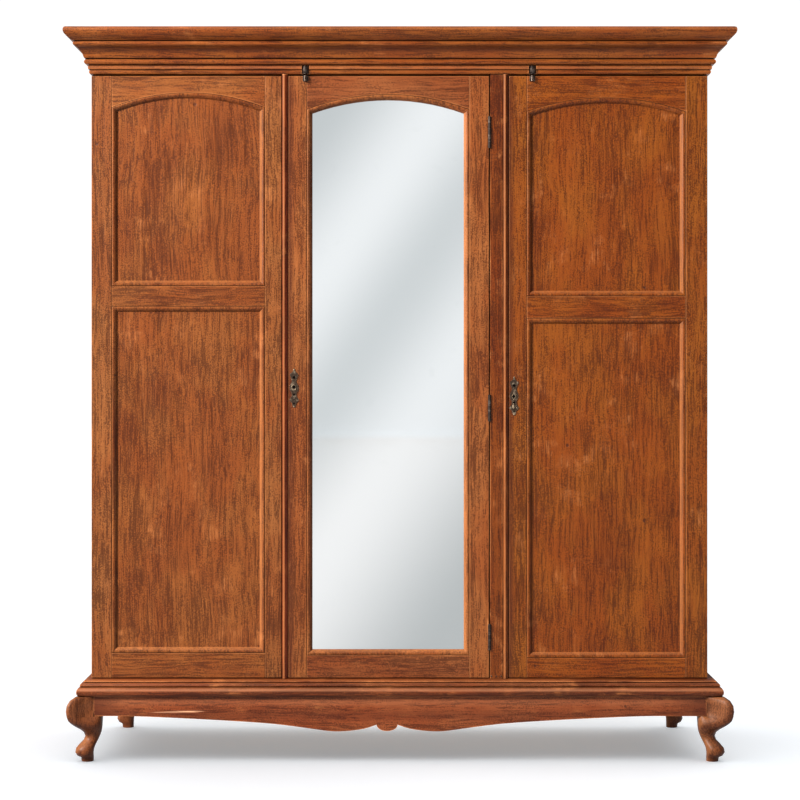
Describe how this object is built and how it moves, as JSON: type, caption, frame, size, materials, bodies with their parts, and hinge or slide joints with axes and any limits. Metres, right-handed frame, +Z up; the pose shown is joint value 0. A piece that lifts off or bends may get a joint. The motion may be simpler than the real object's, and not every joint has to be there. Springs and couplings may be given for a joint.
{
  "type": "mirrored wardrobe",
  "caption": "Wide wardrobe with an arched mirror door between panelled doors, stepped cornice, moulded base, shaped apron, short curved legs, hanging pole and shelves.",
  "frame": {"origin": "on the floor under the middle of the whole box, with the four feet's undersides at Z 0", "axes": "+Z up, the doors face -Y, +X to the right of someone who faces the doors"},
  "size_m": [1.8434, 0.625, 2.018],
  "materials": {
    "polished_teak": "worn reddish-brown polish, soft satin",
    "panel_teak": "worn reddish-brown polish with darker figure, satin",
    "inside_pine": "bare aged softwood, matt",
    "silvered_mirror": "polished silvered glass",
    "dark_iron": "dark oxidised iron",
    "aged_brass": "dark aged cast brass"
  },
  "bodies": {
    "root": {"front_left_leg": "polished_teak", "front_right_leg": "polished_teak", "rear_left_leg": "polished_teak", "rear_right_leg": "polished_teak", "front_apron": "polished_teak", "left_apron": "polished_teak", "right_apron": "polished_teak", "base_moulding": "polished_teak", "left_side": "polished_teak", "right_side": "polished_teak", "cornice": "polished_teak", "centre_mullion": "polished_teak", "hinge_post": "polished_teak", "bottom_board": "inside_pine", "top_board": "inside_pine", "back_panel": "inside_pine", "partition": "inside_pine", "hanging_pole": "inside_pine", "lower_shelf": "inside_pine", "upper_shelf": "inside_pine", "fixed_hinge_leaf_1": "dark_iron", "fixed_hinge_leaf_2": "dark_iron", "fixed_hinge_leaf_3": "dark_iron", "left_top_pivot": "dark_iron", "left_bottom_pivot": "dark_iron", "right_top_pivot": "dark_iron", "right_bottom_pivot": "dark_iron", "mirror_catch_keeper": "dark_iron", "right_catch_keeper": "dark_iron"},
    "left_door": {"left_door_outer_stile": "polished_teak", "left_door_inner_stile": "polished_teak", "left_door_top_rail": "polished_teak", "left_door_mid_rail": "polished_teak", "left_door_bottom_rail": "polished_teak", "left_door_lower_panel": "panel_teak", "left_door_upper_panel": "panel_teak"},
    "mirror_door": {"mirror_door_lock_stile": "polished_teak", "mirror_door_hinge_stile": "polished_teak", "mirror_door_top_rail": "polished_teak", "mirror_door_bottom_rail": "polished_teak", "door_hinge_leaf_1": "dark_iron", "door_hinge_leaf_2": "dark_iron", "door_hinge_leaf_3": "dark_iron", "mirror_door_lock_plate": "aged_brass", "mirror_moulding": "polished_teak", "mirror_glass": "silvered_mirror", "mirror_catch_case": "dark_iron"},
    "right_door": {"right_door_lock_stile": "polished_teak", "right_door_outer_stile": "polished_teak", "right_door_top_rail": "polished_teak", "right_door_mid_rail": "polished_teak", "right_door_bottom_rail": "polished_teak", "right_door_lower_panel": "panel_teak", "right_door_upper_panel": "panel_teak", "right_door_lock_plate": "aged_brass", "right_catch_case": "dark_iron"},
    "mirror_lock_bolt": {"mirror_lock_bolt": "aged_brass"},
    "right_lock_bolt": {"right_lock_bolt": "aged_brass"},
    "mirror_catch_bolt": {"mirror_catch_bolt": "dark_iron"},
    "right_catch_bolt": {"right_catch_bolt": "dark_iron"}
  },
  "joints": [
    {"name": "left_door_swing", "type": "hinge", "parent": "root", "child": "left_door", "pos_m": [-0.8477, -0.2285, 0.2275], "axis": [0, 0, -1], "range_deg": [0, 110]},
    {"name": "mirror_door_swing", "type": "hinge", "parent": "root", "child": "mirror_door", "pos_m": [0.2474, -0.245, 0.2275], "axis": [0, 0, 1], "range_deg": [0, 115]},
    {"name": "right_door_swing", "type": "hinge", "parent": "root", "child": "right_door", "pos_m": [0.8449, -0.2285, 0.2275], "axis": [0, 0, 1], "range_deg": [0, 110]},
    {"name": "mirror_lock_slide", "type": "slide", "parent": "mirror_door", "child": "mirror_lock_bolt", "axis": [-1, 0, 0], "range_m": [0, 0.008]},
    {"name": "right_lock_slide", "type": "slide", "parent": "right_door", "child": "right_lock_bolt", "axis": [-1, 0, 0], "range_m": [0, 0.008]},
    {"name": "mirror_catch_slide", "type": "slide", "parent": "mirror_door", "child": "mirror_catch_bolt", "axis": [0, 0, 1], "range_m": [0, 0.0095]},
    {"name": "right_catch_slide", "type": "slide", "parent": "right_door", "child": "right_catch_bolt", "axis": [0, 0, 1], "range_m": [0, 0.0095]}
  ]
}
